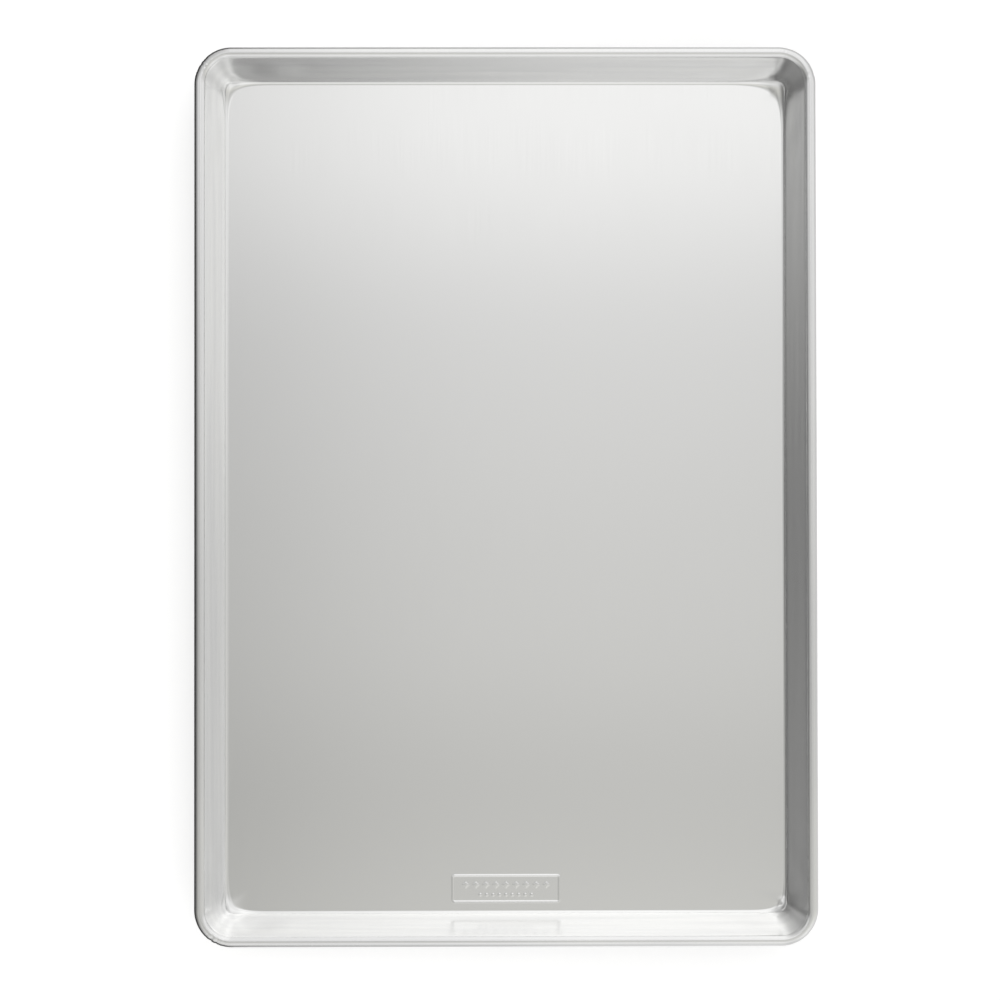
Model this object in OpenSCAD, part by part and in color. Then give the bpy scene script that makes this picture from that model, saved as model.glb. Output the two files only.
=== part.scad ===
// Jelly roll pan: one drawn aluminium sheet whose edge is rolled round a steel wire.
// Millimetres. The origin is the middle of the underside, +Y is the long way, +Z is up.

/* [Pan] */
// Overall width, over the rolled rim
pan_width = 285.75; // [200:0.25:460]
// Overall length, over the rolled rim
pan_length = 412.75; // [260:0.25:660]
// Depth inside, from the floor up to the top of the rim
inside_depth = 25.4; // [16:0.2:55]
// Thickness of the sheet
sheet_t = 1.0; // [0.6:0.05:1.4]
// Lean of the walls from upright, in degrees
wall_lean = 15.5; // [6:0.5:28]

/* [Bends and corners] */
// Inside radius of the bend between floor and wall, along the sides
floor_bend_r = 1.75; // [1.25:0.25:4]
// Inside radius of the same bend down the middle of each corner
corner_bend_r = 6.5; // [5:0.25:10]
// Corner radius, seen from above, where the faces of wall and floor would meet without a bend
punch_corner_r = 5.25; // [4:0.25:14]

/* [Rolled rim] */
// Diameter of the wire inside the rim
wire_d = 3.2; // [2:0.1:5]
// Clearance all round between the wire and the sheet that is rolled over it
wire_clearance = 0.12; // [0.1:0.01:0.3]
// Slot left between the lip of the curl and the outside of the wall
lip_gap = 0.3; // [0.1:0.05:0.6]
// Gap where the two ends of the wire meet, at the middle of the back
wire_end_gap = 0.8; // [0.2:0.1:3]

/* [Stamped border] */
// Length of the raised border on the floor, along X
border_length = 51; // [30:0.5:80]
// Width of the raised border, along Y
border_width = 13.4; // [8:0.2:20]
// Width of the raised line
border_line = 1.2; // [0.9:0.1:2]
// Height of the raised line above the floor, and depth of the groove that it leaves underneath
border_height = 0.2; // [0.1:0.05:0.3]
// Distance from the border to the front edge of the flat floor
border_inset = 3.4; // [1:0.2:12]

/* [Smoothness] */
// Flat steps in each quarter turn of a corner, seen from above
corner_steps = 10; // [8:1:14]
// Flat steps in a full turn of the curl
curl_steps = 24; // [16:4:32]

/* [Hidden] */
aluminium = "#d4d5d3";
galvanised = "#8f9496";

// The curl: the wire's middle, and the two faces of the sheet round it
curl_in_r = wire_d / 2 + wire_clearance;
curl_out_r = curl_in_r + sheet_t;
rim_top = sheet_t + inside_depth;
wire_z = rim_top - curl_out_r;
wire_inset = curl_out_r;

// The sheet leaves the curl where the wall is tangent to it, and its lip stops short of the wall.
// Angles are in the section of the rim, anticlockwise from straight outwards.
wall_angle = 180 - wall_lean;
lip_angle = wall_angle - 360 + acos((curl_in_r - lip_gap) / curl_out_r);

// Whole steps of the curl between its two ends, so that it is widest and highest at true points
curl_step = 360 / curl_steps;
first_step = floor(wall_angle / curl_step - 0.5);
last_step = ceil(lip_angle / curl_step + 0.5);
curl_angles = concat(wall_angle, [for (i = [first_step : -1 : last_step]) i * curl_step], lip_angle);

// Insets are distances inwards from the outline of the rim, seen from above
wall_top_z = wire_z + curl_out_r * sin(wall_lean);
wall_top_inset = wire_inset + curl_out_r * cos(wall_lean);
crease_inset = wall_inset(sheet_t);
rim_corner_r = punch_corner_r + crease_inset;
floor_inset = bend_inset(floor_bend_r);

// Flat steps in the bend between floor and wall, along the sides
bend_steps = 6;

// The line of the border is pushed up from below, so it is narrower by its slopes underneath.
// Its foot reaches down into the floor, so that the two are one solid.
groove_line = border_line - 2 * border_height;
border_root = sheet_t / 4;

// Inset of the inner face of the wall, as a flat plane, at height z
function wall_inset(z) = wall_top_inset + (wall_top_z - z) * tan(wall_lean);

// Inset of the middle of a floor bend of inside radius r, which is also where the floor turns flat
function bend_inset(r) = wall_inset(sheet_t + r) + r / cos(wall_lean);

// Inset of one face of the sheet at height z, with a floor bend of inside radius r.
// depth is 0 for the inner face and the sheet's thickness for the outer one.
function face_inset(z, r, depth) =
    let (middle_z = sheet_t + r, arc_r = r + depth)
    z < middle_z - arc_r * sin(wall_lean)
    ? bend_inset(r) - sqrt(max(0, arc_r * arc_r - (middle_z - z) * (middle_z - z)))
    : wall_inset(z) - depth / cos(wall_lean);

// How much further in the face lies on the diagonal of a corner than beside it, at height z,
// because the floor bend is wider there. The sides take up their share of it towards the corner.
function corner_pull(z, depth) =
    sqrt(2) * (face_inset(z, corner_bend_r, depth) - face_inset(z, floor_bend_r, depth)) / 2;

// Heights of the rings of one face of the sheet, close together in both bends
function bend_heights(r, depth) =
    let (turn = 90 - wall_lean)
    [for (i = [0 : bend_steps]) sheet_t + r - (r + depth) * cos(turn * i / bend_steps)];
function face_heights(depth) =
    let (side = bend_heights(floor_bend_r, depth), corner = bend_heights(corner_bend_r, depth))
    concat(side, [for (z = corner) if (z > side[bend_steps] + 0.2) z]);

// A quarter of a ring, from the right-hand side to the back: a round corner of radius r, drawn in
// by pull where it crosses the diagonal. The pull dies away along both sides as a cube does,
// so that the floor's corners run out into its sides in long soft curves.
function quarter_ring(x, y, z, r, pull) =
    [for (i = [0 : corner_steps])
        let (t = i / corner_steps, a = 90 * t)
        [x - r * (1 - cos(a)) - 8 * pull * pow(t, 3),
         y - r * (1 - sin(a)) - 8 * pull * pow(1 - t, 3),
         z]];

// One ring of points round the pan: the quarter, and its mirror images in turn
function ring(inset, z, pull = 0) =
    let (quarter = quarter_ring(pan_width / 2 - inset, pan_length / 2 - inset, z,
                                rim_corner_r - inset, pull))
    concat(quarter,
           [for (p = reversed(quarter)) [-p[0], p[1], z]],
           [for (p = quarter) [-p[0], -p[1], z]],
           [for (p = reversed(quarter)) [p[0], -p[1], z]]);

function curl_ring(r, angle) = ring(wire_inset - r * cos(angle), wire_z + r * sin(angle));

function reversed(list) = [for (i = [len(list) - 1 : -1 : 0]) list[i]];

// Rings from the edge of the floor up the inner face, over the curl to its lip,
// back under the curl beside the wire, and down the outer face to the underside
inner_rings = [for (z = face_heights(0))
    ring(face_inset(z, floor_bend_r, 0), z, corner_pull(z, 0))];
outer_rings = [for (z = face_heights(sheet_t))
    ring(face_inset(z, floor_bend_r, sheet_t), z, corner_pull(z, sheet_t))];
curl_outside = [for (a = curl_angles) curl_ring(curl_out_r, a)];
curl_inside = [for (a = curl_angles) curl_ring(curl_in_r, a)];

// A closed skin over a list of rings, capped flat at both ends
module skin(rings) {
    per_ring = len(rings[0]);
    count = len(rings);
    sides = [for (k = [0 : count - 2], i = [0 : per_ring - 1], half = [0, 1])
        let (j = (i + 1) % per_ring, low = k * per_ring, high = low + per_ring)
        half == 0 ? [low + i, high + j, high + i] : [low + i, low + j, high + j]];
    caps = [[for (i = [per_ring - 1 : -1 : 0]) i],
            [for (i = [0 : per_ring - 1]) (count - 1) * per_ring + i]];
    polyhedron(points = [for (r = rings, p = r) p], faces = concat(sides, caps), convexity = 6);
}

// The border's rectangle on the floor, drawn with a line of a given width, between two heights
module border_frame(line, bottom, top) {
    y = -pan_length / 2 + floor_inset + border_inset + border_width / 2;
    x_side = border_length - border_line;
    y_side = border_width - border_line;
    translate([0, y, bottom])
        linear_extrude(top - bottom)
            difference() {
                square([x_side + line, y_side + line], center = true);
                square([x_side - line, y_side - line], center = true);
            }
}

module pan_shell() {
    color(aluminium)
        difference() {
            union() {
                skin(concat(inner_rings, curl_outside, reversed(curl_inside),
                            reversed(outer_rings)));
                border_frame(border_line, sheet_t - border_root, sheet_t + border_height);
            }
            border_frame(groove_line, -sheet_t, border_height);
        }
}

// A quarter of the wire's ring: one bend, and half of the run on each side of it
module wire_quarter(short_of_middle) {
    bend_r = rim_corner_r - wire_inset;
    x = pan_width / 2 - rim_corner_r;
    y = pan_length / 2 - rim_corner_r;
    translate([x, y, wire_z]) {
        rotate_extrude(angle = 90, $fn = 96)
            translate([bend_r, 0])
                circle(d = wire_d, $fn = 48);
        translate([bend_r, 0, 0])
            rotate([90, 0, 0])
                cylinder(d = wire_d, h = y, $fn = 48);
        translate([0, bend_r, 0])
            rotate([0, -90, 0])
                cylinder(d = wire_d, h = x - short_of_middle, $fn = 48);
    }
}

module rim_wire() {
    color(galvanised)
        for (right = [0, 1], front = [0, 1])
            mirror([1 - right, 0, 0])
                mirror([0, front, 0])
                    wire_quarter(front == 1 ? 0 : wire_end_gap / 2);
}

pan_shell();
rim_wire();
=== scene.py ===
# %% [markdown]
# # A jelly roll pan
#
# The real thing is one sheet of plain aluminium, 1 mm thick. A press draws it into a shallow tray with
# sloping walls, and its edge is then rolled outwards round a steel wire, which keeps the thin sheet from
# bending. So there are two pieces: the pan's sheet and the wire in its rim.
#
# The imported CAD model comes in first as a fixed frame. It says where everything is, in metres, and
# nothing in it is moved.

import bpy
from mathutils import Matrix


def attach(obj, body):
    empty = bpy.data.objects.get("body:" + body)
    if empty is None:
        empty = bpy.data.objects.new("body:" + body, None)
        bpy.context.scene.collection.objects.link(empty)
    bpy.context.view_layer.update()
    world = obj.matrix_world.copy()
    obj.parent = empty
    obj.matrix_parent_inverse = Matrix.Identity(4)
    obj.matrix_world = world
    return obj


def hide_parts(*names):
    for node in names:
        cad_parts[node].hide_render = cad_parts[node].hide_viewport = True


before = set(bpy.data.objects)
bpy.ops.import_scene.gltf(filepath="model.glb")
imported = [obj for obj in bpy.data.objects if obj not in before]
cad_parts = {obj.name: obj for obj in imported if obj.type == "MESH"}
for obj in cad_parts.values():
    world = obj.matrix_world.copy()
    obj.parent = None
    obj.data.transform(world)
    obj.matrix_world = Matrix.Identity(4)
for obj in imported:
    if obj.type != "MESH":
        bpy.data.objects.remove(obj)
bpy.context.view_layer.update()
print("CAD nodes:", sorted(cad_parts))

# %% [markdown]
# ## The camera
#
# The photograph looks straight down on the pan from a little over a metre. A longer lens from further
# away would make the walls narrower in the picture, and a shorter one from nearby would make them
# wider. The camera's place and its small tilt come from fitting the corners of the rim and of the
# floor, which lie at two heights.

# %% Camera
import math

import bpy
import numpy as np

CAMERA_PLACE = (-0.0097, -0.0187, 1.140)
CAMERA_TURN = (0.86, -0.36, -0.09)
SENSOR = 36.0
RIM_HEIGHT = 0.02368
PIXELS_PER_METRE_AT_RIM = 2179.0
PICTURE_WIDTH = 1000

camera_data = bpy.data.cameras.new("camera")
camera_data.sensor_width = SENSOR
focal_pixels = PIXELS_PER_METRE_AT_RIM * (CAMERA_PLACE[2] - RIM_HEIGHT)
camera_data.lens = SENSOR * focal_pixels / PICTURE_WIDTH
camera = bpy.data.objects.new("camera", camera_data)
camera.location = CAMERA_PLACE
camera.rotation_euler = [math.radians(angle) for angle in CAMERA_TURN]
bpy.context.scene.collection.objects.link(camera)
bpy.context.scene.camera = camera
print("Lens in mm:", round(camera_data.lens, 1))

# %% [markdown]
# ## The section of the sheet
#
# A pan like this is a profile carried round a path. The profile is the cut edge of the sheet: up from
# the floor through a bend, up the leaning wall, over the rolled rim to its lip, back inside the roll
# beside the wire, and down the outside to the underside. The path is a rounded rectangle.
#
# Every point of the profile has an inset, which is its distance inwards from the outline of the rim,
# and a height. The numbers are the ones that the CAD model is built from, in millimetres. They become
# metres once, when the mesh is made.

# %% Sizes of the pan, in millimetres
PAN_WIDTH = 285.75
PAN_LENGTH = 412.75
INSIDE_DEPTH = 25.4
SHEET = 1.0
WALL_LEAN = math.radians(15.5)
FLOOR_BEND_R = 1.75
CORNER_BEND_R = 6.5
PUNCH_CORNER_R = 5.25
WIRE_R = 1.6
WIRE_CLEARANCE = 0.12
LIP_GAP = 0.3
METRES = 0.001

curl_in_r = WIRE_R + WIRE_CLEARANCE
curl_out_r = curl_in_r + SHEET
wire_z = SHEET + INSIDE_DEPTH - curl_out_r
wire_inset = curl_out_r
wall_top_z = wire_z + curl_out_r * math.sin(WALL_LEAN)
wall_top_inset = wire_inset + curl_out_r * math.cos(WALL_LEAN)
print("Wire is", round(wire_z, 2), "mm up and", round(wire_inset, 2), "mm in")


# %% Insets of the wall and of the bend
def wall_inset(z):
    """Inset of the wall's inner face: it grows towards the floor by the height lost times tan(lean)."""
    return wall_top_inset + (wall_top_z - z) * math.tan(WALL_LEAN)


def bend_inset(bend_r):
    """Inset of the middle of a bend that is tangent to the floor and to the wall."""
    return wall_inset(SHEET + bend_r) + bend_r / math.cos(WALL_LEAN)


def face_inset(z, bend_r, depth):
    """Inset of one face of the sheet at height z: on a circle of radius bend_r + depth about the
    middle of the bend while the bend lasts, and on a straight leaning line above it."""
    middle_z = SHEET + bend_r
    arc_r = bend_r + depth
    on_bend = bend_inset(bend_r) - np.sqrt(np.maximum(0, arc_r**2 - (middle_z - z) ** 2))
    on_wall = wall_inset(z) - depth / math.cos(WALL_LEAN)
    return np.where(z < middle_z - arc_r * math.sin(WALL_LEAN), on_bend, on_wall)


floor_inset = bend_inset(FLOOR_BEND_R)
corner_r = PUNCH_CORNER_R + wall_inset(SHEET)
print("The floor turns flat", round(floor_inset, 2), "mm in")
print("The rim's corners have a radius of", round(corner_r, 2), "mm")


# %% Heights and angles of the profile's points
BEND_STEPS = 14
WALL_STEPS = 12
CURL_STEPS = 44
LIP_STEPS = 6
INSIDE_CURL_STEPS = 22
LEAST_STEP = 0.2


def face_heights(depth):
    """Heights from the floor to the top of the wall: even angles through the side's bend, then
    through what is left of the wider bend in the corners, then even steps up the wall."""
    cosines = np.cos(np.linspace(0, math.pi / 2 - WALL_LEAN, BEND_STEPS + 1))
    side = SHEET + FLOOR_BEND_R - (FLOOR_BEND_R + depth) * cosines
    corner = SHEET + CORNER_BEND_R - (CORNER_BEND_R + depth) * cosines
    corner = corner[corner > side[-1] + LEAST_STEP]
    top = wall_top_z - depth * math.sin(WALL_LEAN)
    wall = np.linspace(corner[-1], top, WALL_STEPS + 1)[1:]
    return np.concatenate([side, corner, wall])


def curl_line(radius, angles):
    """Inset and height of points on a circle about the wire, at angles from straight outwards."""
    return wire_inset - radius * np.cos(angles), wire_z + radius * np.sin(angles)


wall_angle = math.pi - WALL_LEAN
lip_angle = wall_angle - 2 * math.pi + math.acos((curl_in_r - LIP_GAP) / curl_out_r)
lip_r = SHEET / 2
lip_middle_r = curl_in_r + lip_r
last_angle = lip_angle + lip_r / lip_middle_r
print("The rim is rolled through", round(math.degrees(wall_angle - lip_angle)), "degrees")


# %% The whole profile, as one list of points
GUARD_OUTER, GUARD_INNER = 1.4, 0.35


def face_line(depth):
    """Inset, height and corner pull of one face of the sheet, from the floor to the rim. The pull is
    how much further in the face lies on a corner's diagonal, along x and along y alike, because the
    bend is wider there."""
    z = face_heights(depth)
    inset = face_inset(z, FLOOR_BEND_R, depth)
    pull = (face_inset(z, CORNER_BEND_R, depth) - inset) / math.sqrt(2)
    return inset, z, pull


def without_pull(inset, z):
    return inset, z, np.zeros_like(z)


def guard_line(inset, z, pull):
    """Two more points on the flat beside a bend, so that the shading of the bend ends there."""
    beside = np.array([GUARD_OUTER, GUARD_INNER])
    return inset[0] + beside, np.full(2, z[0]), np.full(2, pull[0])


inner = face_line(0)
outer = face_line(SHEET)
curl_angles = np.linspace(wall_angle, last_angle, CURL_STEPS + 1)
lip_turn = np.linspace(0, math.pi, LIP_STEPS + 1)[1:-1]
lip_radii = lip_middle_r + lip_r * np.cos(lip_turn)
lip_angles = last_angle - lip_r * np.sin(lip_turn) / lip_middle_r
inside_angles = np.linspace(last_angle, wall_angle, INSIDE_CURL_STEPS + 1)

sections = [
    guard_line(*inner),
    inner,
    without_pull(*curl_line(curl_out_r, curl_angles[1:])),
    without_pull(*curl_line(lip_radii, lip_angles)),
    without_pull(*curl_line(curl_in_r, inside_angles)),
    [part[::-1] for part in outer],
    [part[::-1] for part in guard_line(*outer)],
]
inset, height, pull = (np.concatenate([part[k] for part in sections]) for k in range(3))
ring_count = len(inset)
print("Points in the profile:", ring_count)

# %% [markdown]
# ## The path round the pan
#
# Seen from above, each ring of points is a rounded rectangle. In the corners of the floor the press
# leaves a wider bend, so there the ring is pulled inwards, and the pull fades along the sides as a cube
# does. Real presses wear unevenly: the photograph shows one corner of the floor softer than the others,
# so each corner has its own share of the pull.

# %% Rings of points
CORNER_STEPS = 56
LONG_SIDE_STEPS = 26
SHORT_SIDE_STEPS = 18
CROWDING = 1.6
CORNER_SOFTNESS = {"back_right": 1.35, "back_left": 0.95, "front_left": 0.85, "front_right": 0.7}


def half_side(end, steps):
    """Places from the middle of a side, 0, to its end, closer together towards the corner."""
    share = 1 - (1 - np.arange(steps) / steps) ** CROWDING
    return share * end


def quarter(inset, height, pull, softness):
    """A quarter of every ring, from the middle of the right side to the middle of the back. t runs
    from 0 to 1 round the corner: the point turns 90 t degrees on a circle, less 8 softness pull t^3
    in x and 8 softness pull (1 - t)^3 in y. Halfway both cubes are 1/8, which leaves softness pull in
    each. Returns points [ring, place, xyz] and the outward directions."""
    x = (PAN_WIDTH / 2 - inset)[:, None]
    y = (PAN_LENGTH / 2 - inset)[:, None]
    r = (corner_r - inset)[:, None]
    soft = (8 * softness * pull)[:, None]
    t = np.linspace(0, 1, CORNER_STEPS + 1)
    corner_x = x - r * (1 - np.cos(t * math.pi / 2)) - soft * t**3
    corner_y = y - r * (1 - np.sin(t * math.pi / 2)) - soft * (1 - t) ** 3
    side_y = half_side(corner_y[:, :1], LONG_SIDE_STEPS)
    back_x = half_side(corner_x[:, -1:], SHORT_SIDE_STEPS)[:, ::-1]
    across = np.hstack([x + 0 * side_y, corner_x, back_x])
    along = np.hstack([side_y, corner_y, y + 0 * back_x])
    turn = np.concatenate([np.zeros(LONG_SIDE_STEPS), t, np.ones(SHORT_SIDE_STEPS)]) * math.pi / 2
    up = height[:, None] + 0 * across
    return np.stack([across, along, up], axis=2), np.stack([np.cos(turn), np.sin(turn)], axis=1)


def whole_rings(inset, height, pull):
    """The four quarters joined: each is the first one mirrored, with its own softness."""
    mirrors = {"back_right": (1, 1), "back_left": (-1, 1), "front_left": (-1, -1), "front_right": (1, -1)}
    points = []
    outward = []
    for place, (sign_x, sign_y) in mirrors.items():
        part, way = quarter(inset, height, pull, CORNER_SOFTNESS[place])
        part = part * (sign_x, sign_y, 1)
        way = way * (sign_x, sign_y)
        if sign_x * sign_y < 0:
            part = part[:, ::-1]
            way = way[::-1]
        points.append(part[:, :-1])
        outward.append(way[:-1])
    return np.concatenate(points, axis=1), np.concatenate(outward)


rings, outward = whole_rings(inset, height, pull)
place_count = rings.shape[1]
print("Rings:", ring_count, "of", place_count, "points")

# %% [markdown]
# ## Marks of the press
#
# A drawn pan is never perfect. In a corner there is more sheet than the rim needs, so here and there the
# roll crimps into small radial folds. The walls beside the corners ripple by a tenth of a millimetre or
# two, and all along they carry shallow waves from being drawn. On a shiny metal such small slopes bend
# the reflections, and that is what makes it look real. A bump in the material would fade at the outline,
# so the points of the mesh are moved instead, both faces of the sheet together.

# %% Where a point lies on the curl
# Round the pan a point has the angle of its outward direction, and round the wire the angle of its
# place from straight outwards. The folds are whole on the outer side of the roll and below, and fade
# over its top towards the wall.
FOLDED = (-150, -20)
JUMP_ANGLE = 170
NEARLY = 0.01


def smooth_step(low, high, value):
    """0 below low and 1 above high, with the smooth cubic 3t^2 - 2t^3 between."""
    t = np.clip((value - low) / (high - low), 0, 1)
    return t * t * (3 - 2 * t)


angle_round = np.degrees(np.arctan2(outward[:, 1], outward[:, 0]))
section_angle = np.degrees(np.arctan2(height - wire_z, wire_inset - inset))
wire_distance = np.hypot(height - wire_z, wire_inset - inset)
on_curl = (wire_distance < curl_out_r + NEARLY) & (np.arange(ring_count) > len(inner[0]))
round_curl = np.where(section_angle > JUMP_ANGLE, section_angle - 360, section_angle)
folded = np.where(on_curl, smooth_step(*FOLDED, -round_curl), 0)
print("Rings on the curl:", on_curl.sum())

# %% Crimps in the rim
# Each crimped place has its angle round the pan and its reach, in degrees, and its depth in mm. Across
# it the folds are a cosine of the angle, made uneven by two slower sines.
CRIMPS = [(146, 15, 0.28), (241, 14, 0.32), (77, 9, 0.12), (18, 9, 0.14), (318, 12, 0.08)]
CRIMP_PITCH = 7.8
UNEVEN = [(1.6, 13), (0.9, 29)]

crimped = sum(
    depth * np.exp(-(((angle_round - middle + 180) % 360 - 180) / reach) ** 2)
    for middle, reach, depth in CRIMPS
)
uneven = sum(share * np.sin(np.radians(angle_round * times)) for share, times in UNEVEN)
wobble = 0.5 + 0.5 * np.cos(2 * math.pi * angle_round / CRIMP_PITCH + uneven)
crimp = folded[:, None] * (crimped * wobble)[None, :]
radial = np.stack([(wire_inset - inset), (height - wire_z)], axis=1) / wire_distance[:, None]
rings[:, :, :2] -= (crimp * radial[:, :1])[:, :, None] * outward[None]
rings[:, :, 2] -= crimp * radial[:, 1:]
print("Deepest crimp in mm:", round(crimp.max(), 3))

# %% Ripples and waves in the walls
# The ripple is a sine of the distance past the corner, strongest RIPPLE_FROM mm past it, that fades as
# a bell curve does. The wave is a sine of the height, whose phase drifts along the side. Both leave
# out the bend and the top of the wall. One ring on the roll says where along a side a point is.
RIPPLE = 0.16
RIPPLE_LENGTH = 26.0
RIPPLE_FROM = 14
RIPPLE_REACH = 22.0
RIPPLE_START = (-12, 6)
RIPPLE_PHASE = (0.7, 0.4)
WAVE = 0.025
WAVE_LENGTH = 10.5
DRIFT = [(1.4, 41.0, 0.0), (0.9, 17.0, 1.0)]
WALL_BEGINS = (4.5, 11)
WALL_ENDS = (17, 22.5)

rim_line = rings[ring_count // 3].copy()
past_corner_y = PAN_LENGTH / 2 - corner_r - np.abs(rim_line[:, 1])
past_corner_x = PAN_WIDTH / 2 - corner_r - np.abs(rim_line[:, 0])
past_corner = np.where(past_corner_y > past_corner_x, past_corner_y, past_corner_x)
faded = np.exp(-(((past_corner - RIPPLE_FROM) / RIPPLE_REACH) ** 2))
beside_corner = faded * smooth_step(*RIPPLE_START, past_corner)
own_phase = np.sign(rim_line[:, :2]) @ RIPPLE_PHASE
rippled = np.sin(2 * math.pi * past_corner / RIPPLE_LENGTH + own_phase)
up_wall = smooth_step(*WALL_BEGINS, height) * (1 - smooth_step(*WALL_ENDS, height)) * ~on_curl

on_long_side = np.abs(outward[:, 0]) > np.abs(outward[:, 1])
along_side = np.where(on_long_side, rim_line[:, 1], rim_line[:, 0])
drift = sum(share * np.sin(along_side / length + start) for share, length, start in DRIFT)
waved = np.sin(2 * math.pi * height[:, None] / WAVE_LENGTH + drift[None, :])
ripple = up_wall[:, None] * (RIPPLE * (beside_corner * rippled)[None, :] + WAVE * waved)
rings[:, :, :2] += (ripple * math.cos(WALL_LEAN))[:, :, None] * outward[None]
rings[:, :, 2] -= ripple * math.sin(WALL_LEAN)
print("Deepest ripple in mm:", round(np.abs(ripple).max(), 3))

# %% Bruises at the foot of three corners
# Each has its place, its reach and its rise in mm: a bell-shaped rise of the bend and of the floor's
# edge, which glints as in the photograph.
BRUISES = [(129.2, -189.5, 2.0, 0.3), (126.6, 190.2, 2.0, 0.15), (-127.5, -190.5, 3.0, 0.15)]
BRUISED_BELOW = 9

for bruise_x, bruise_y, reach, rise in BRUISES:
    from_bruise = np.hypot(rings[:, :, 0] - bruise_x, rings[:, :, 1] - bruise_y) / reach
    rings[:, :, 2] += rise * np.exp(-(from_bruise**2)) * (height < BRUISED_BELOW)[:, None]
print("Bruises:", len(BRUISES))

# %% [markdown]
# ## The floor and its stamped border
#
# The floor is flat with a slight crown, as pressed sheets have. Near the front edge a stamp has raised a
# thin border from below. The border could be a bump in the material, but it catches real highlights, so
# it is part of the mesh: a fine grid whose height is a sum of soft ridges. Inside the border is a plain
# row of lozenges over a row of beads, pressed in the same way.

# %% Heights of the stamp
BORDER_LENGTH = 51.0
BORDER_WIDTH = 13.4
BORDER_LINE = 1.2
BORDER_HEIGHT = 0.2
BORDER_INSET = 3.4
BORDER_CORNER_R = 1.0
MARKS_SHARE = 0.6
ROW_COUNT = 9
LOZENGE_PITCH, LOZENGE_SIZE, LOZENGES_UP = 4.7, 1.75, 1.75
LOZENGE_SLOPE = (0.55, 1.05)
BEAD_PITCH, BEAD_SIZE, BEADS_DOWN = 3.0, 0.85, 2.9
BEAD_SLOPE = (0.3, 1.05)
CROWN = 0.15
stamp_y = -PAN_LENGTH / 2 + floor_inset + BORDER_INSET + BORDER_WIDTH / 2


def ridge(distance, width):
    """A soft ridge: 1 on its line, and down by half a cosine wave to 0 at half its width."""
    return 0.5 + 0.5 * np.cos(math.pi * np.clip(distance / (width / 2), 0, 1))


def border_distance(x, y):
    """Distance from the line of the border, a rectangle with small round corners."""
    half_x = (BORDER_LENGTH - BORDER_LINE) / 2 - BORDER_CORNER_R
    half_y = (BORDER_WIDTH - BORDER_LINE) / 2 - BORDER_CORNER_R
    out_x = np.abs(x) - half_x
    out_y = np.abs(y) - half_y
    outside = np.hypot(np.maximum(out_x, 0), np.maximum(out_y, 0))
    inside = np.minimum(np.maximum(out_x, out_y), 0)
    return np.abs(outside + inside - BORDER_CORNER_R)


def repeated(x, pitch, count):
    """Distance along x from the nearest of count places, pitch apart and centred on 0."""
    nearest = np.clip(np.round(x / pitch + (count - 1) / 2), 0, count - 1)
    return x - (nearest - (count - 1) / 2) * pitch


def lozenges(x, y):
    """1 on a row of lozenges and 0 off them: (|x| + |y|) / size measures how far out a point is."""
    reach = (np.abs(repeated(x, LOZENGE_PITCH, ROW_COUNT)) + np.abs(y - LOZENGES_UP)) / LOZENGE_SIZE
    return 1 - smooth_step(*LOZENGE_SLOPE, reach)


def beads(x, y):
    """1 on a short row of round beads and 0 off them."""
    reach = np.hypot(repeated(x, BEAD_PITCH, ROW_COUNT), y + BEADS_DOWN) / BEAD_SIZE
    return 1 - smooth_step(*BEAD_SLOPE, reach)


def stamp_height(x, y, narrower):
    """Height of the stamp: the border's ridge and the lower lozenges and beads inside it."""
    line = BORDER_HEIGHT * ridge(border_distance(x, y), BORDER_LINE - narrower)
    return line + MARKS_SHARE * BORDER_HEIGHT * (lozenges(x, y) + beads(x, y))


def crown_height(x, y):
    """The floor's crown: highest in the middle, with level edges."""
    across = np.clip(1 - (x / (PAN_WIDTH / 2 - floor_inset)) ** 2, 0, 1)
    along = np.clip(1 - (y / (PAN_LENGTH / 2 - floor_inset)) ** 2, 0, 1)
    return CROWN * across**1.5 * along**1.5


print("The stamp is centred", round(stamp_y, 2), "mm from the middle")

# %% Fill the floor and the underside
from mathutils.geometry import delaunay_2d_cdt

PATCH = (53.0, 14.6)
PATCH_MARGIN = 3
LOOSE_SPACING = 9.0
LOOSE_CORNER_IN = 16
LOOSE_CORNER_R = 12
STAMP_PITCH, UNDER_PITCH = 0.22, 0.4
INSIDE_ONLY = 1
SAME_POINT = 1e-6


def patch_grid(pitch):
    """A grid over the stamp. Returns its points in rows, and the indices of its square faces and of
    the points round its edge."""
    columns = int(round(PATCH[0] / pitch)) + 1
    rows = int(round(PATCH[1] / pitch)) + 1
    across = np.linspace(-0.5, 0.5, columns) * PATCH[0]
    x, y = np.meshgrid(across, np.linspace(-0.5, 0.5, rows) * PATCH[1])
    index = np.arange(rows * columns).reshape(rows, columns)
    squares = np.stack([index[:-1, :-1], index[:-1, 1:], index[1:, 1:], index[1:, :-1]], axis=-1)
    rim = np.concatenate([index[0, :-1], index[:-1, -1], index[-1, :0:-1], index[:0:-1, 0]])
    return np.stack([x.ravel(), y.ravel() + stamp_y], axis=1), squares.reshape(-1, 4), rim


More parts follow.
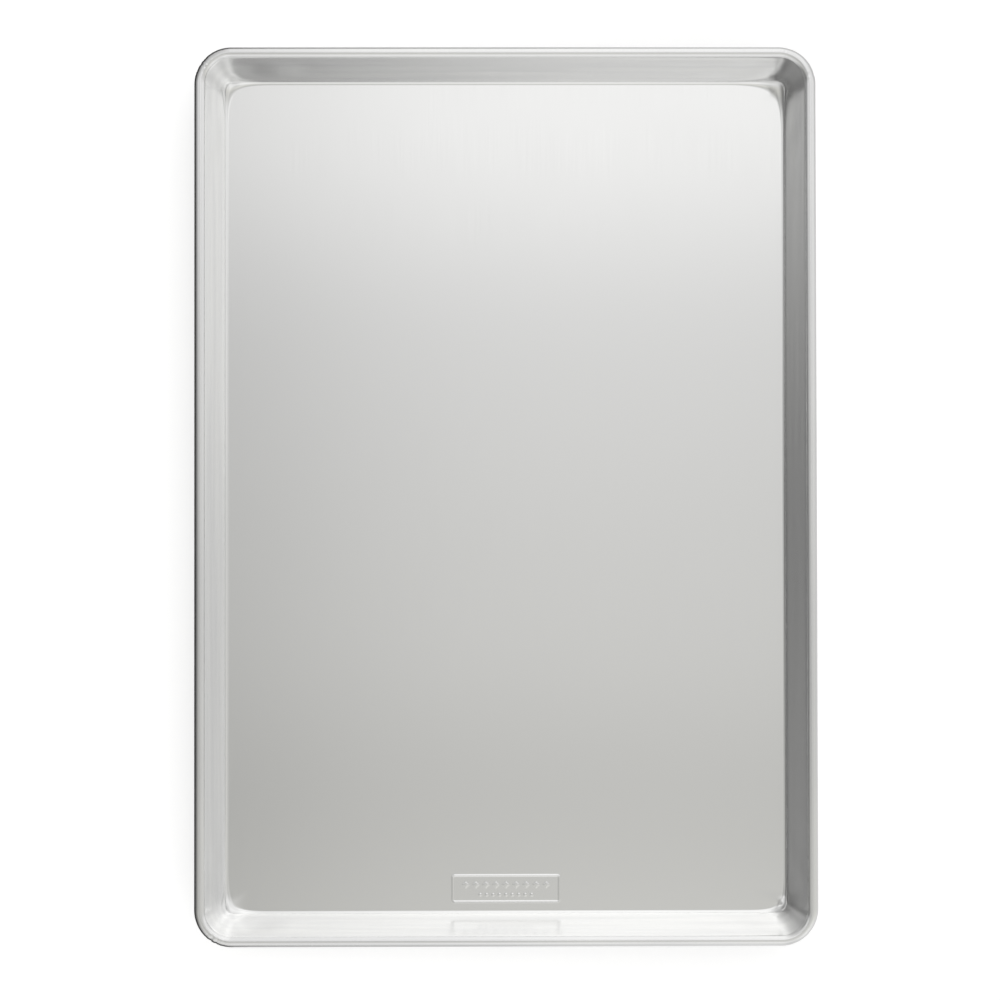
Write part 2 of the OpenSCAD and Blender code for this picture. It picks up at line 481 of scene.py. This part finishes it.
def loose_points(edge):
    """Points on a coarse grid between the edge of the floor and the patch of the stamp. They keep
    within a rounded rectangle, whose corners have their middles LOOSE_CORNER_IN in from the edge."""
    half = np.abs(edge).max(axis=0)
    across = np.arange(-half[0], half[0], LOOSE_SPACING)
    x, y = (part.ravel() for part in np.meshgrid(across, np.arange(-half[1], half[1], LOOSE_SPACING)))
    past_x = np.maximum(np.abs(x) - half[0] + LOOSE_CORNER_IN, 0)
    past_y = np.maximum(np.abs(y) - half[1] + LOOSE_CORNER_IN, 0)
    off_x = np.abs(x) > PATCH[0] / 2 + PATCH_MARGIN
    off_y = np.abs(y - stamp_y) > PATCH[1] / 2 + PATCH_MARGIN
    keep = (np.hypot(past_x, past_y) < LOOSE_CORNER_R) & (off_x | off_y)
    return np.stack([x, y], axis=1)[keep]


def closed_chain(indices):
    return np.stack([indices, np.roll(indices, -1)], axis=1)


def filled(edge, pitch):
    """Points and faces that fill a closed edge, with the fine patch of the stamp inside. The points
    start with the edge itself."""
    patch, squares, patch_rim = patch_grid(pitch)
    loose = loose_points(edge)
    count = len(edge)
    outline = np.concatenate([edge, patch[patch_rim], loose])
    chains = [closed_chain(np.arange(count)), closed_chain(count + np.arange(len(patch_rim)))]
    edges = np.concatenate(chains).tolist()
    made = delaunay_2d_cdt(outline.tolist(), edges, [], INSIDE_ONLY, SAME_POINT)
    source = np.array([origin[0] for origin in made[3]])
    triangles = source[np.array(made[2])]
    middle = outline[triangles].mean(axis=1) - (0, stamp_y)
    between = (np.abs(middle[:, 0]) > PATCH[0] / 2) | (np.abs(middle[:, 1]) > PATCH[1] / 2)
    points = np.concatenate([edge, loose, patch])
    patch_start = count + len(loose)
    moved = np.concatenate([np.arange(count), patch_start + patch_rim, count + np.arange(len(loose))])
    return points, moved[triangles[between]], squares + patch_start


floor_points, floor_triangles, floor_squares = filled(rings[0, :, :2], STAMP_PITCH)
under_points, under_triangles, under_squares = filled(rings[-1, :, :2], UNDER_PITCH)
print("Floor:", len(floor_points), "points; underside:", len(under_points), "points")

# %% [markdown]
# ## Joining the mesh
#
# All the faces point outwards: up on the floor, down on the underside. The volume inside a closed mesh
# is a sum over its triangles, and it is positive only if they do, so the cell prints it. It should be
# near the CAD model's 149 cubic centimetres.
#
# The mesh also carries a UV map. It is the flat blank before the press bent it: each point lies as far
# out from the edge of the floor as the sheet runs up to it. The grain that the rolling mill left in the
# sheet follows that map over the bends.

# %% Faces and the flat blank
def with_heights(points, base_z, narrower):
    x, y = points.T
    z = base_z + crown_height(x, y) + stamp_height(x, y - stamp_y, narrower)
    return np.column_stack([points, z])


floor_points = with_heights(floor_points, SHEET, 0)
under_points = with_heights(under_points, 0, 2 * BORDER_HEIGHT)
rings[0] = floor_points[:place_count]
rings[-1] = under_points[:place_count]

index = np.arange(ring_count * place_count).reshape(ring_count, place_count)
after = np.roll(index, -1, axis=1)
sheet_squares = np.stack([index[:-1], index[1:], after[1:], after[:-1]], axis=-1).reshape(-1, 4)
floor_start = ring_count * place_count - place_count
under_start = floor_start + len(floor_points) - place_count


def joined(faces, ring, start):
    """Indices of a filled face in the whole mesh: its edge is a ring that is already there."""
    return np.where(faces < place_count, faces + ring * place_count, faces + start)


points = np.concatenate([rings.reshape(-1, 3), floor_points[place_count:], under_points[place_count:]])
top_faces = [joined(faces, 0, floor_start) for faces in (floor_triangles, floor_squares)]
last = ring_count - 1
low_faces = [joined(faces, last, under_start)[:, ::-1] for faces in (under_triangles, under_squares)]
triangles = np.concatenate([top_faces[0], low_faces[0]])
squares = np.concatenate([sheet_squares, top_faces[1], low_faces[1]])
split = np.concatenate([triangles, squares[:, :3], squares[:, [0, 2, 3]]])
corners = points[split]
volume = np.einsum("ij,ij->i", corners[:, 0], np.cross(corners[:, 1], corners[:, 2])).sum() / 6
print("Triangles:", len(split), " volume in cubic cm:", round(volume / 1000, 1))

# %% The flat blank as a UV map
BLANK = 500.0
steps = np.hypot(np.diff(inset), np.diff(height))
run = np.concatenate([[0], np.cumsum(steps)]) - GUARD_OUTER
under_run = run[-1] - run - 2 * GUARD_OUTER
on_top = np.arange(ring_count) < ring_count - len(outer[0]) - INSIDE_CURL_STEPS
run = np.where(on_top, run, under_run)
edge_of_floor = rings[2, :, :2]
blank = (edge_of_floor[None] + run[:, None, None] * outward[None]).reshape(-1, 2)
blank = np.concatenate([blank, floor_points[place_count:, :2], under_points[place_count:, :2]])
blank = blank / BLANK + 0.5
print("The blank was", [round(size * BLANK) for size in np.ptp(blank, axis=0)], "mm")


# %% Make the mesh
def new_mesh(name, points, triangles, squares, uv):
    """A smooth mesh from arrays in metres. Its corners are stored face after face."""
    mesh = bpy.data.meshes.new(name)
    corner_list = np.concatenate([triangles.ravel(), squares.ravel()])
    sizes = np.concatenate([np.full(len(triangles), 3), np.full(len(squares), 4)])
    mesh.vertices.add(len(points))
    mesh.vertices.foreach_set("co", points.ravel().astype(np.float32))
    mesh.loops.add(len(corner_list))
    mesh.loops.foreach_set("vertex_index", corner_list.astype(np.int32))
    mesh.polygons.add(len(sizes))
    mesh.polygons.foreach_set("loop_start", (np.cumsum(sizes) - sizes).astype(np.int32))
    layer = mesh.uv_layers.new(name="flat_blank")
    layer.uv.foreach_set("vector", uv[corner_list].ravel().astype(np.float32))
    mesh.update(calc_edges=True)
    if mesh.validate():
        print("The mesh of", name, "had to be repaired")
    mesh.shade_smooth()
    made = bpy.data.objects.new(name, mesh)
    bpy.context.scene.collection.objects.link(made)
    return made


pan_sheet = new_mesh("pan_sheet", points * METRES, triangles, squares, blank)
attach(pan_sheet, "root")
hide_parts("pan_shell")
print("Made", pan_sheet.name, "with", len(pan_sheet.data.polygons), "faces")

# %% [markdown]
# ## Aluminium
#
# The sheet is plain aluminium as it comes from the rolling mill, pressed and washed but not coated or
# polished. Polished rolls leave it bright, with very fine lines along the rolling direction, so it
# mirrors softly: more blurred across the lines than along them. That is anisotropy. The tangent comes
# from the flat blank's UV map, so the blur turns with the sheet.

# %% Helpers for materials
def colour(code):
    """An sRGB hex colour as the linear RGBA that Blender's sockets hold."""
    value = np.array([int(code[k : k + 2], 16) for k in (1, 3, 5)]) / 255
    linear = np.where(value <= 0.04045, value / 12.92, ((value + 0.055) / 1.055) ** 2.4)
    return (*linear.tolist(), 1.0)


def add_node(tree, kind, inputs=None, **settings):
    """Adds a node, sets its properties, and for each input sets a value or links a socket."""
    node = tree.nodes.new(kind)
    for name, value in settings.items():
        setattr(node, name, value)
    for name, value in (inputs or {}).items():
        socket = node.inputs[name]
        if isinstance(value, bpy.types.NodeSocket):
            tree.links.new(value, socket)
        else:
            socket.default_value = value
    return node


def new_material(name):
    """A material with an empty node tree and its output node."""
    material = bpy.data.materials.new(name)
    material.use_nodes = True
    material.node_tree.nodes.clear()
    return material, material.node_tree, add_node(material.node_tree, "ShaderNodeOutputMaterial")


BRIGHT_ALUMINIUM = "#F0F0EF"
STREAKED_ALUMINIUM = "#E9E9E9"
print("Aluminium in linear light:", [round(part, 3) for part in colour(BRIGHT_ALUMINIUM)[:3]])

# %% Mill-finish aluminium: its grain and clouds
# The mill's lines are finer than a pixel. They are drawn about 0.55 mm wide and 36 mm long on the blank,
# so that they just show close up. The sheet is also a little cloudy, in patches of about 55 mm.
LINES_ON_BLANK = (900, 14, 1)
CLOUDS_PER_METRE = 18.0

aluminium, tree, output = new_material("mill_finish_aluminium")
place = add_node(tree, "ShaderNodeTexCoord")
place_parts = add_node(tree, "ShaderNodeSeparateXYZ", {"Vector": place.outputs["Object"]})


def noise_on(vector, scale, detail, repeats=None):
    """Noise on a place or map, which a Mapping node stretches first if repeats are given."""
    if repeats:
        mapping = add_node(tree, "ShaderNodeMapping", {"Vector": vector, "Scale": repeats})
        vector = mapping.outputs["Vector"]
    noise = add_node(tree, "ShaderNodeTexNoise", {"Vector": vector, "Scale": scale, "Detail": detail})
    return noise.outputs["Fac"]


def times_plus(first, times, plus):
    """first x times + plus, as one Math node."""
    made = add_node(tree, "ShaderNodeMath", {0: first, 1: times, 2: plus}, operation="MULTIPLY_ADD")
    return made.outputs["Value"]


def spread(value, low, high, most=1.0):
    """0 at low and most at high, straight between and level beyond."""
    limits = {"Value": value, "From Min": low, "From Max": high, "To Max": most}
    return add_node(tree, "ShaderNodeMapRange", limits).outputs["Result"]


blank_uv = add_node(tree, "ShaderNodeUVMap", uv_map="flat_blank")
grain = noise_on(blank_uv.outputs["UV"], 1.0, 3.0, LINES_ON_BLANK)
cloud = noise_on(place.outputs["Object"], CLOUDS_PER_METRE, 2.0)
bump = add_node(tree, "ShaderNodeBump", {"Height": grain, "Strength": 0.06, "Distance": 0.00003})
print("Lines in mm:", [round(BLANK / repeat, 2) for repeat in LINES_ON_BLANK[:2]])

# %% Mill-finish aluminium: drawn walls
# Where the press draws the sheet over its edge, the walls lose some of the gloss and get faint streaks
# round the pan, about 4 mm high and 110 mm long.
DRAWN_FROM = (0.0012, 0.0035)
STREAKS_PER_METRE = (9, 9, 230)
STREAK_CONTRAST = (0.35, 0.7)
GRAIN_CONTRAST = (0.3, 0.7)
FLOOR_ROUGHNESS = 0.12
DRAWN_ROUGHNESS = 0.08
CLOUD_ROUGHNESS = 0.03
GRAIN_ROUGHNESS = 0.03

drawn = spread(place_parts.outputs["Z"], *DRAWN_FROM)
streaks = spread(noise_on(place.outputs["Object"], 1.0, 2.0, STREAKS_PER_METRE), *STREAK_CONTRAST)
streaked = add_node(tree, "ShaderNodeMath", {0: streaks, 1: drawn}, operation="MULTIPLY")
metal_colour = add_node(tree, "ShaderNodeValToRGB", {"Fac": streaked.outputs["Value"]})
metal_colour.color_ramp.elements[0].color = colour(BRIGHT_ALUMINIUM)
metal_colour.color_ramp.elements[1].color = colour(STREAKED_ALUMINIUM)
cloudy = times_plus(cloud, CLOUD_ROUGHNESS, spread(grain, *GRAIN_CONTRAST, GRAIN_ROUGHNESS))
smooth = times_plus(drawn, DRAWN_ROUGHNESS, FLOOR_ROUGHNESS)
rough = add_node(tree, "ShaderNodeMath", {0: cloudy, 1: smooth}, operation="ADD")
tangent = add_node(tree, "ShaderNodeTangent", direction_type="UV_MAP", uv_map="flat_blank")
metal = add_node(
    tree,
    "ShaderNodeBsdfPrincipled",
    {
        "Base Color": metal_colour.outputs["Color"],
        "Metallic": 1.0,
        "Roughness": rough.outputs["Value"],
        "Anisotropic": 0.5,
        "Tangent": tangent.outputs["Tangent"],
        "Normal": bump.outputs["Normal"],
    },
)
tree.links.new(metal.outputs["BSDF"], output.inputs["Surface"])
pan_sheet.data.materials.append(aluminium)
print("Material:", aluminium.name)

# %% [markdown]
# ## Galvanised steel
#
# The wire is drawn steel with a coat of zinc, which keeps it from rusting inside the rim. Zinc sets in
# crystals, so the coat is dull and mottled. The rim hides the wire, and it shows only through the slot
# below the lip. So the CAD model's own wire is kept, and only its material is new: a Voronoi pattern
# with cells of about 1.4 mm stands for the crystals.

# %% Galvanised steel for the wire
CRYSTALS_PER_METRE = 700.0

galvanised, tree, output = new_material("galvanised_steel_wire")
place = add_node(tree, "ShaderNodeTexCoord")
spangle_inputs = {"Vector": place.outputs["Object"], "Scale": CRYSTALS_PER_METRE}
spangle = add_node(tree, "ShaderNodeTexVoronoi", spangle_inputs)
spangle_colour = add_node(tree, "ShaderNodeValToRGB", {"Fac": spangle.outputs["Distance"]})
spangle_colour.color_ramp.elements[0].color = colour("#8E9496")
spangle_colour.color_ramp.elements[1].color = colour("#B4B9BA")
zinc = add_node(
    tree,
    "ShaderNodeBsdfPrincipled",
    {"Base Color": spangle_colour.outputs["Color"], "Metallic": 1.0, "Roughness": 0.42},
)
tree.links.new(zinc.outputs["BSDF"], output.inputs["Surface"])
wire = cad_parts["rim_wire"]
wire.data.materials.clear()
wire.data.materials.append(galvanised)
print("Material:", galvanised.name)

# %% [markdown]
# ## The studio
#
# A mirror shows its surroundings, so for a metal pan the light is mostly what stands round it. By the
# reflections in the photograph, that was a white tent, bright behind the pan, with a darker left side.
# Area lights would leave gaps between them that the rim would show, so the tent is the world itself: a
# roof and four walls that fade into each other. Each has two ramps, one from front to back and one from
# left to right, by angle from straight up, and its brightness is one times the other. The front wall
# is darker on the left where the pan's back wall mirrors it by way of the floor than where the rim
# mirrors it, so it has a ramp across for each.

# %% Tent of light
TENT = {
    "roof": ([
        (-30, 0), (-20, 0.47), (-12, 0.7), (-9, 0.62), (-6, 0.54), (-3, 0.66), (0, 0.67),
        (3, 0.72), (5.5, 0.73), (7.5, 0.89), (9.5, 1.02), (12, 1), (20, 0.64), (30, 0),
    ], [
        (-30, 0), (-20, 0.39), (-12, 0.57), (-6, 0.81), (-3, 1), (0, 1.04), (3, 1.05), (6, 1.05),
        (12, 0.94), (20, 0.54), (30, 0),
    ]),
    "left_wall": ([
        (-90, 0.2), (-48, 0.22), (-20, 0.5), (-12, 0.64), (-9, 0.64), (-6, 0.59), (-3, 0.53),
        (0, 0.49), (2, 0.51), (3, 0.54), (4.4, 0.63), (5.5, 0.73), (6.5, 0.84), (7.5, 0.93),
        (8.5, 1.05), (9.5, 1.14), (12, 1.05), (20, 0.64), (48, 0.28), (90, 0.25),
    ], [
        (-90, 0.22), (-75, 0.26), (-60, 0.4), (-48, 0.58), (-38, 0.79), (-30, 0.88), (-20, 0.52),
        (-12, 0),
    ]),
    "right_wall": ([
        (-90, 0.1), (-48, 0.46), (-20, 0.78), (-12, 0.9), (-6, 0.83), (0, 0.86), (5.5, 1.07),
        (12, 1.18), (20, 0.96), (48, 0.66), (90, 0.53),
    ], [
        (12, 0), (20, 0.29), (30, 0.68), (38, 0.86), (48, 0.77), (60, 0.78), (75, 0.78),
        (90, 0.74),
    ]),
    "back_wall": ([
        (12, 0), (20, 0.45), (30, 0.9), (38, 1.15), (48, 1.1), (60, 1.04), (75, 1.08), (90, 1.02),
    ], [
        (-90, 0), (-48, 0.05), (-20, 0.4), (-12, 0.62), (-6, 0.82), (-3, 0.96), (0, 1.08),
        (3, 1.08), (6, 1.04), (12, 0.93), (20, 0.72), (48, 0.16), (90, 0),
    ]),
}
FRONT_WALL = [
    (-90, 0.62), (-75, 0.62), (-60, 0.72), (-48, 0.84), (-38, 0.74), (-30, 0.6), (-20, 0.28), (-12, 0),
]
FRONT_FIRST = [
    (-90, 0), (-60, 0.1), (-48, 0.3), (-35, 0.6), (-20, 0.9), (-12, 1), (-6, 1.1), (-3, 1.18), (0, 1.25),
    (3, 1.33), (6, 1.3), (12, 1.09), (20, 0.85), (48, 0.59), (90, 0.51),
]
FRONT_SECOND = [
    (-90, 0), (-48, 0.08), (-20, 0.2), (-12, 0.24), (-6, 0.38), (-4.5, 0.57), (-3, 0.83), (-1.5, 1.07),
    (0, 1.25), (3, 1.33), (6, 1.3), (12, 1.09), (20, 0.85), (48, 0.59), (90, 0.51),
]
SECOND_LOOK = ([
    (-90, 1.1), (-60, 1.08), (-38, 1.02), (-15, 0.98), (15, 0.96), (38, 1.27), (60, 1.4),
    (90, 1.4),
], [
    (-90, 0.95), (-60, 0.85), (-48, 0.7), (-38, 0.67), (-15, 0.9), (15, 0.9), (38, 1.17), (60, 1.32),
    (90, 1.3),
])

world = bpy.data.worlds.new("white_tent")
world.use_nodes = True
world_tree = world.node_tree
world_tree.nodes.clear()
bpy.context.scene.world = world
way = add_node(world_tree, "ShaderNodeTexCoord")
way_parts = add_node(world_tree, "ShaderNodeSeparateXYZ", {"Vector": way.outputs["Generated"]})


def brightness_ramp(tree, part, places, values):
    """A ramp over one part of a place or direction, from -1 to 1, with its brightness at each stop."""
    along = add_node(tree, "ShaderNodeMath", {0: part, 1: 0.5, 2: 0.5}, operation="MULTIPLY_ADD")
    ramp = add_node(tree, "ShaderNodeValToRGB", {"Fac": along.outputs["Value"]})
    elements = ramp.color_ramp.elements
    while len(elements) < len(places):
        elements.new(0.5)
    for element, position, value in zip(elements, places, values):
        element.position = 0.5 + 0.5 * position
        element.color = (value, value, value, 1)
    return ramp.outputs["Color"]


def angle_ramp(part, stops):
    """A ramp over the sine of the angle from straight up."""
    angles, values = zip(*stops)
    return brightness_ramp(world_tree, part, np.sin(np.radians(angles)), values)


def product(tree, first, second, plus=(0.0, 0.0, 0.0)):
    """first x second + plus, channel by channel, as one node."""
    parts = {0: first, 1: second, 2: plus}
    return add_node(tree, "ShaderNodeVectorMath", parts, operation="MULTIPLY_ADD").outputs["Vector"]


light = (0.0, 0.0, 0.0)
for panel, (front_to_back, left_to_right) in TENT.items():
    along = angle_ramp(way_parts.outputs["Y"], front_to_back)
    across = angle_ramp(way_parts.outputs["X"], left_to_right)
    light = product(world_tree, along, across, light)
    print("Tent:", panel)

front = angle_ramp(way_parts.outputs["Y"], FRONT_WALL)
first_light = product(world_tree, front, angle_ramp(way_parts.outputs["X"], FRONT_FIRST), light)

# %% [markdown]
# From above, the walls show the tent by way of the floor: light falls on the floor, goes on to the wall
# and up to the camera. In the photograph that second look is darker on the right wall and brighter on
# the front and left ones than one tent gives, so it has two ramps of its own. A ray that reaches the
# tent counts one bounce more than it has made, so the second look starts at a depth of 3.
#
# The lower part of the floor is a little warmer than the rest. It mirrors the part of the tent just in
# front of overhead, so the first look has a faint warm tint there, which fades out to both sides.

# %% The walls' second look
SECOND_LOOK_DEPTH = 2.5

ray = add_node(world_tree, "ShaderNodeLightPath")
bounces = {0: ray.outputs["Ray Depth"], 1: SECOND_LOOK_DEPTH}
second = add_node(world_tree, "ShaderNodeMath", bounces, operation="GREATER_THAN")
share_along = angle_ramp(way_parts.outputs["Y"], SECOND_LOOK[0])
share_across = angle_ramp(way_parts.outputs["X"], SECOND_LOOK[1])
second_front = angle_ramp(way_parts.outputs["X"], FRONT_SECOND)
second_base = product(world_tree, front, second_front, light)
second_light = product(world_tree, second_base, product(world_tree, share_along, share_across))
print("The second look starts at a ray depth of", math.ceil(SECOND_LOOK_DEPTH))

# %% A warmer front
WARM_ANGLES = (-35, 6)
WARM_SHARE = 0.45
WARM_FRONT = (1.0, 0.995, 0.95, 1.0)
NEUTRAL_FLOOR = (1.0, 1.0, 0.995, 1.0)

warm_from, warm_to = (math.sin(math.radians(angle)) for angle in WARM_ANGLES)
warm_range = {"Value": way_parts.outputs["Y"], "From Min": warm_from, "From Max": warm_to}
warmth = add_node(world_tree, "ShaderNodeMapRange", warm_range)
tint = add_node(world_tree, "ShaderNodeValToRGB", {"Fac": warmth.outputs["Result"]})
tint.color_ramp.elements[0].color = NEUTRAL_FLOOR
tint.color_ramp.elements.new(WARM_SHARE).color = WARM_FRONT
tinted = product(world_tree, first_light, tint.outputs["Color"])
looks = {"Factor": second.outputs["Value"], "A": tinted, "B": second_light}
chosen = add_node(world_tree, "ShaderNodeMix", looks, data_type="VECTOR")
print("The front of the tent is", WARM_FRONT[:3])

# %% Backdrop
BACKDROP = "#FFFFFF"

tent = add_node(world_tree, "ShaderNodeBackground", {"Color": chosen.outputs["Result"]})
plain = add_node(world_tree, "ShaderNodeBackground", {"Color": colour(BACKDROP)})
shaders = {1: tent.outputs["Background"], 2: plain.outputs["Background"]}
seen_by = {"Fac": ray.outputs["Is Camera Ray"], **shaders}
backdrop = add_node(world_tree, "ShaderNodeMixShader", seen_by)
add_node(world_tree, "ShaderNodeOutputWorld", {"Surface": backdrop.outputs["Shader"]})
bpy.context.scene.view_settings.view_transform = "Standard"
print("World:", world.name)

# %% [markdown]
# The table under the pan is white, with a soft shadow beside the walls. A diffuse board alone would be
# grey in this light, so it has some light of its own, a little more on the left, where the tent is
# darker. The metal needs something else from the table: on the left the photograph's rim mirrors a dark
# edge, as if something white under the pan ended there. So rays that leave the metal do not see the
# board. They see a painted reflection instead: a glow made of two ramps, one across and one along, which
# is dark on the left and so paints that dark edge into the rim.

# %% White table
TABLE_HALF = 6.0
TABLE_DROP = 0.0003

table_corners = np.array([[-1, -1, 0], [1, -1, 0], [1, 1, 0], [-1, 1, 0]]) * TABLE_HALF
table_mesh = bpy.data.meshes.new("white_table")
table_mesh.from_pydata((table_corners - (0, 0, TABLE_DROP)).tolist(), [], [(0, 1, 2, 3)])
white_table = bpy.data.objects.new("white_table", table_mesh)
bpy.context.scene.collection.objects.link(white_table)
print("Stage:", white_table.name)

# %% What the camera sees of the table, and the painted reflection that the metal sees
# Places on the table in metres, with the painted reflection's brightness there as the metal sees it, and
# the board's own glow.
TABLE_ACROSS = [-0.3, -0.16, -0.142, -0.124, 0.128, 0.142, 0.16, 0.3]
REFLECTION_GLOW_ACROSS = [0.02, 0.02, 0.1, 0.45, 0.74, 0.72, 0.7, 0.7]
TABLE_ALONG = [-0.35, -0.22, -0.205, -0.19, 0.19, 0.205, 0.22, 0.35]
REFLECTION_GLOW_ALONG = [1.1, 1.1, 1.05, 1, 0.95, 0.78, 0.86, 0.86]
GLOW_ACROSS = [-0.30, -0.15, 0.15, 0.30]
GLOW = [0.55, 0.53, 0.46, 0.46]
BOARD_COLOUR = "#EDEDED"

white, tree, output = new_material("white_table")
place = add_node(tree, "ShaderNodeTexCoord")
place_parts = add_node(tree, "ShaderNodeSeparateXYZ", {"Vector": place.outputs["Object"]})


def table_ramp(part, places, values):
    """A ramp over a place on the table in metres, from half a metre to each side. The brightness ramp
    spans twice as much, so the places are doubled."""
    doubled = add_node(tree, "ShaderNodeMath", {0: part, 1: 2.0}, operation="MULTIPLY")
    return brightness_ramp(tree, doubled.outputs["Value"], [2 * place for place in places], values)


# Painted reflection: the metal sees this glow instead of the board. It is dark on the left and paints the
# rim's dark outer edge.
reflection_glow_across = table_ramp(place_parts.outputs["X"], TABLE_ACROSS, REFLECTION_GLOW_ACROSS)
reflection_glow_along = table_ramp(place_parts.outputs["Y"], TABLE_ALONG, REFLECTION_GLOW_ALONG)
painted_reflection = product(tree, reflection_glow_across, reflection_glow_along)
mirrored = add_node(tree, "ShaderNodeEmission", {"Color": painted_reflection})
board = add_node(tree, "ShaderNodeBsdfDiffuse", {"Color": colour(BOARD_COLOUR)})
own_light = brightness_ramp(tree, place_parts.outputs["X"], GLOW_ACROSS, GLOW)
glow = add_node(tree, "ShaderNodeEmission", {"Color": own_light})
lit = add_node(tree, "ShaderNodeAddShader", {0: board.outputs["BSDF"], 1: glow.outputs["Emission"]})
ray = add_node(tree, "ShaderNodeLightPath")
seen_by = {"Fac": ray.outputs["Is Glossy Ray"], 1: lit.outputs["Shader"], 2: mirrored.outputs["Emission"]}
both = add_node(tree, "ShaderNodeMixShader", seen_by)
tree.links.new(both.outputs["Shader"], output.inputs["Surface"])
table_mesh.materials.append(white)
print("The metal sees the table's left at", REFLECTION_GLOW_ACROSS[0], "and its right at", REFLECTION_GLOW_ACROSS[-1])
